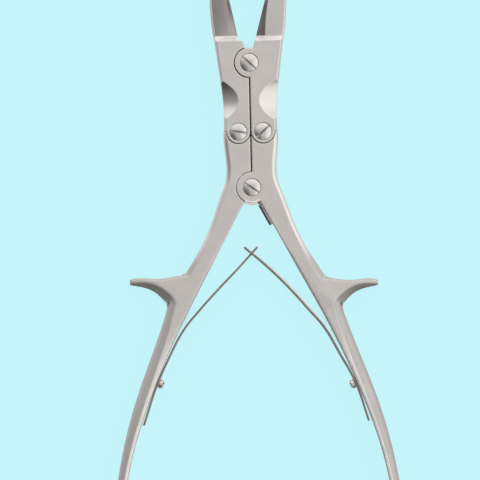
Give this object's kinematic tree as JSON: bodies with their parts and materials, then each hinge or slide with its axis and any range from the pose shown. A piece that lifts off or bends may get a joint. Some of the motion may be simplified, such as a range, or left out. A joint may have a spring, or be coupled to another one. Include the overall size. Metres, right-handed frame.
{
  "type": "bone cutting forceps",
  "caption": "Double-action bone cutting forceps, open: straight cutting jaws, screwed box joint, two arched handles with finger hooks and crossed leaf springs.",
  "frame": {"origin": "rear pivot's axis, on the flat back face of the joint", "axes": "+X to the right lever, +Y to the jaws, +Z out of the face that carries the screw heads"},
  "size_m": [0.142, 0.2707, 0.0117],
  "materials": {
    "satin_steel": "satin ground and polished at the bevels",
    "screw_steel": "polished",
    "spring_steel": "polished spring steel"
  },
  "bodies": {
    "right_handle_side": {"right_handle": "satin_steel", "right_leaf_spring": "spring_steel", "right_spring_screw": "screw_steel"},
    "left_handle_side": {"left_handle": "satin_steel", "left_leaf_spring": "spring_steel", "left_spring_screw": "screw_steel", "rear_pivot_screw": "screw_steel"},
    "right_jaw_side": {"right_jaw": "satin_steel", "right_link_screw": "screw_steel"},
    "left_jaw_side": {"left_jaw": "satin_steel", "left_link_screw": "screw_steel", "front_pivot_screw": "screw_steel"}
  },
  "joints": [
    {"name": "rear_pivot", "type": "hinge", "parent": "right_handle_side", "child": "left_handle_side", "pos_m": [0, 0, 0.0055], "axis": [0, 0, 1], "range_deg": [0, 37.72], "stiffness_Nm_per_rad": 3, "springref_deg": -8.59, "deforming": ["right_leaf_spring", "left_leaf_spring"]},
    {"name": "right_link", "type": "hinge", "parent": "right_handle_side", "child": "right_jaw_side", "pos_m": [0.00619, 0.028, 0.0055], "axis": [0, 0, 1], "range_deg": [0, 33.86]},
    {"name": "left_link", "type": "hinge", "parent": "left_handle_side", "child": "left_jaw_side", "pos_m": [-0.00619, 0.028, 0.0055], "axis": [0, 0, -1], "range_deg": [0, 33.86]}
  ],
  "couplings": [
    {"joint": "right_link", "follows": "rear_pivot", "ratio": 0.89769},
    {"joint": "left_link", "follows": "rear_pivot", "ratio": 0.89769}
  ]
}
